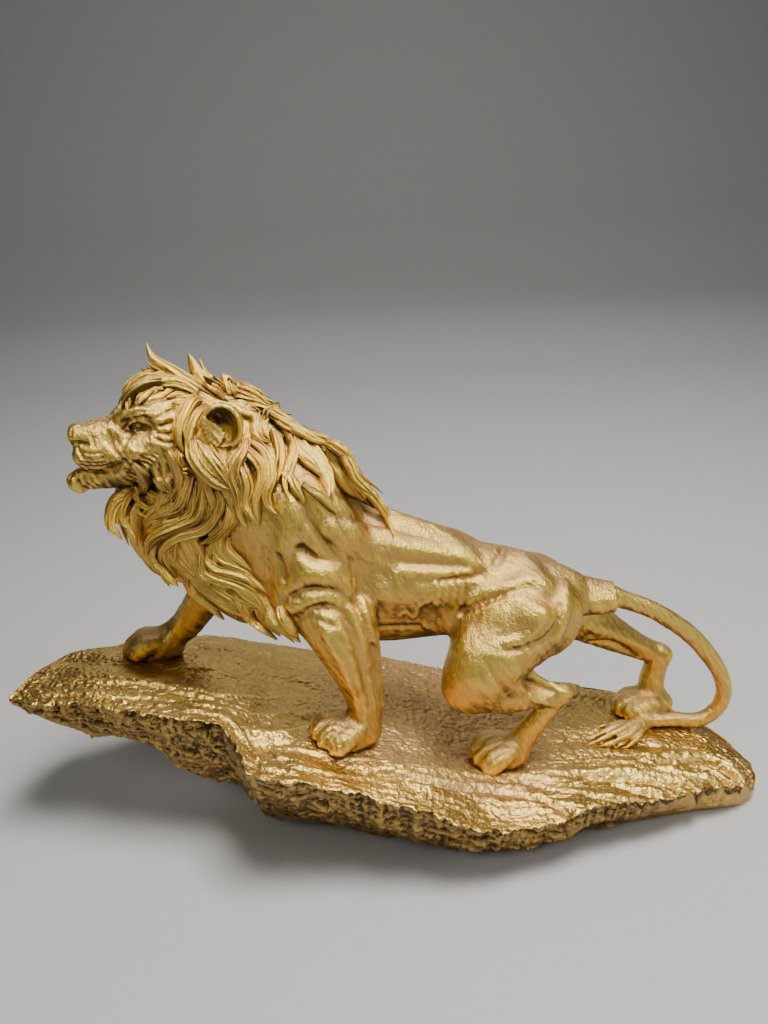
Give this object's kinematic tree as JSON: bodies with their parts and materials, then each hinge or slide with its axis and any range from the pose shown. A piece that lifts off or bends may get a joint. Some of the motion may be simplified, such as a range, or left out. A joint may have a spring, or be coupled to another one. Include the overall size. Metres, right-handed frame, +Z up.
{
  "type": "lion figurine",
  "caption": "Gold-finished ornament of a striding lion with a full mane and a long curved tail, standing on a sloping ledge of rough rock",
  "frame": {"origin": "on the flat underside of the rock, below the middle of the lion's body", "axes": "+Z up, the lion's nose towards -X and its tail towards +X, its left side towards -Y"},
  "size_m": [0.51, 0.1898, 0.3334],
  "materials": {
    "gold_lion": "bright gold metallic paint over fine carved fur, darker in the recesses and coppery on top",
    "gold_rock": "rough gold metallic paint, coppery matte in the middle of the top, dark in the chipped sides"
  },
  "bodies": {
    "root": {"lion": "gold_lion", "rock_base": "gold_rock"}
  },
  "joints": []
}
